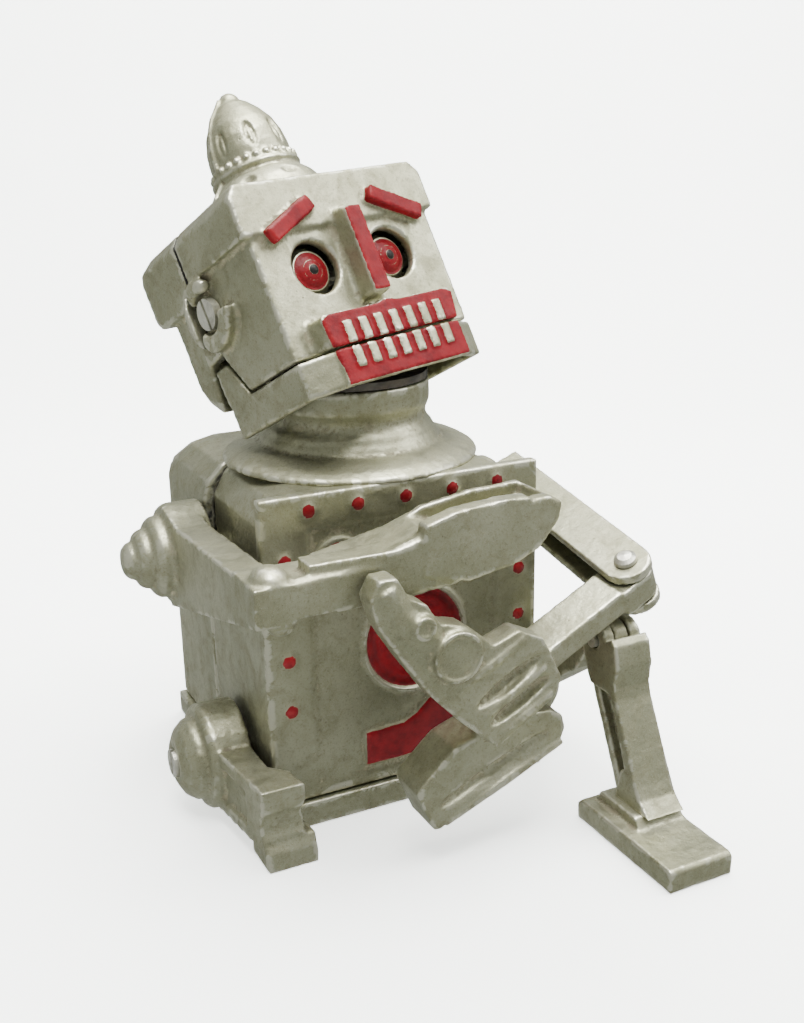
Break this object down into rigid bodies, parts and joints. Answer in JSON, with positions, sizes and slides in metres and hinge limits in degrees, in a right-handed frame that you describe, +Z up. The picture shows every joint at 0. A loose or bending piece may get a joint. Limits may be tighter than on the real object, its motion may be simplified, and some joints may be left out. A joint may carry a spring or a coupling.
{
  "type": "mechanical coin bank figure",
  "caption": "Seated cast-metal robot figure with a box body, domed head cap, hinged jaw and limbs; a lever lifts its hand to its mouth.",
  "frame": {"origin": "under the middle of the body, on the surface the base stands on", "axes": "+Z up, the body faces -Y, and +X is the figure's left"},
  "size_m": [0.1284, 0.1747, 0.1873],
  "materials": {
    "silver_paint": "aged silver paint on cast aluminium, worn bright on the edges",
    "eye_paint": "silver ball with a red painted iris",
    "bare_casting": "bare grey casting",
    "bare_sheet": "dull dark sheet",
    "steel": "worn steel"
  },
  "bodies": {
    "body": {"body_front_shell": "silver_paint", "body_back_shell": "silver_paint", "base_plate": "silver_paint", "neck_collar": "silver_paint", "coin_chute": "bare_sheet", "tie_screw_upper": "steel", "tie_screw_lower": "steel", "lever_pin": "steel", "left_hip_screw": "steel", "right_hip_screw": "steel"},
    "coin_trap": {"coin_trap_cover": "bare_sheet"},
    "head": {"head_front_shell": "silver_paint", "head_back_shell": "silver_paint", "crown_finial": "silver_paint", "ear_screw_left": "steel", "ear_screw_right": "steel", "neck_yoke": "bare_casting"},
    "jaw_body": {"jaw": "silver_paint"},
    "eyes": {"eye_rocker": "steel", "eyeball_left": "eye_paint", "eyeball_right": "eye_paint"},
    "rod": {"push_rod": "steel"},
    "right_arm_body": {"right_arm": "silver_paint", "arm_crank": "bare_casting"},
    "left_upper_arm_body": {"left_upper_arm": "silver_paint", "left_shoulder_collar": "bare_casting", "elbow_pin": "steel"},
    "left_forearm_body": {"left_forearm_hand": "silver_paint"},
    "right_leg_body": {"right_leg": "silver_paint"},
    "left_thigh_body": {"left_thigh": "silver_paint", "knee_pin": "steel"},
    "left_shin_body": {"left_shin": "silver_paint", "left_foot": "silver_paint"},
    "lever": {"operating_lever": "bare_casting", "return_spring": "steel"}
  },
  "joints": [
    {"name": "lever_press", "type": "hinge", "parent": "body", "child": "lever", "pos_m": [0, 0.012, 0.048], "axis": [-1, 0, 0], "range_deg": [0, 17], "stiffness_Nm_per_rad": 0.3, "springref_deg": -11.46, "deforming": ["return_spring"]},
    {"name": "right_arm_lift", "type": "hinge", "parent": "body", "child": "right_arm_body", "pos_m": [0, 0.005, 0.066], "axis": [-1, 0, 0], "range_deg": [0, 24.7]},
    {"name": "push_rod_slide", "type": "slide", "parent": "head", "child": "rod", "axis": [0, 0, 1], "range_m": [0, 0.00114], "stiffness_N_per_m": 20, "springref_m": 0.0033},
    {"name": "jaw_open", "type": "hinge", "parent": "head", "child": "jaw_body", "pos_m": [-0.0057, 0.00845, 0.1337], "axis": [0.9581, 0.2802, 0.0593], "range_deg": [0, 7.4]},
    {"name": "eye_roll", "type": "hinge", "parent": "head", "child": "eyes", "pos_m": [-0.0022, -0.00495, 0.14043], "axis": [0.9581, 0.2802, 0.0593], "range_deg": [0, 9.4]},
    {"name": "head_turn", "type": "hinge", "parent": "body", "child": "head", "pos_m": [0, -0.0054, 0.1], "axis": [0, 0, 1], "range_deg": [-31, 2.5]},
    {"name": "left_shoulder", "type": "hinge", "parent": "body", "child": "left_upper_arm_body", "pos_m": [0, 0.005, 0.066], "axis": [-1, 0, 0], "range_deg": [0, 10]},
    {"name": "left_elbow", "type": "hinge", "parent": "left_upper_arm_body", "child": "left_forearm_body", "pos_m": [0.052, -0.067, 0.0635], "axis": [-0.4067, -0.1586, 0.8997], "range_deg": [0, 68]},
    {"name": "right_hip", "type": "hinge", "parent": "body", "child": "right_leg_body", "pos_m": [0, -0.017, 0.0147], "axis": [-1, 0, 0], "range_deg": [0, 22]},
    {"name": "left_hip", "type": "hinge", "parent": "body", "child": "left_thigh_body", "pos_m": [0, -0.017, 0.0147], "axis": [-1, 0, 0], "range_deg": [-17, 0]},
    {"name": "left_knee", "type": "hinge", "parent": "left_thigh_body", "child": "left_shin_body", "pos_m": [0, -0.066, 0.048], "axis": [-1, 0, 0], "range_deg": [-11, 8]},
    {"name": "coin_trap_turn", "type": "hinge", "parent": "body", "child": "coin_trap", "pos_m": [0, -0.0194, 0.005], "axis": [0, 0, 1], "range_deg": [0, 90]}
  ],
  "couplings": [
    {"joint": "right_arm_lift", "follows": "lever_press", "ratio": 1.45},
    {"joint": "push_rod_slide", "follows": "lever_press", "m_per_rad": 0.0038},
    {"joint": "jaw_open", "follows": "lever_press", "ratio": 0.4333},
    {"joint": "eye_roll", "follows": "lever_press", "ratio": 0.55}
  ]
}
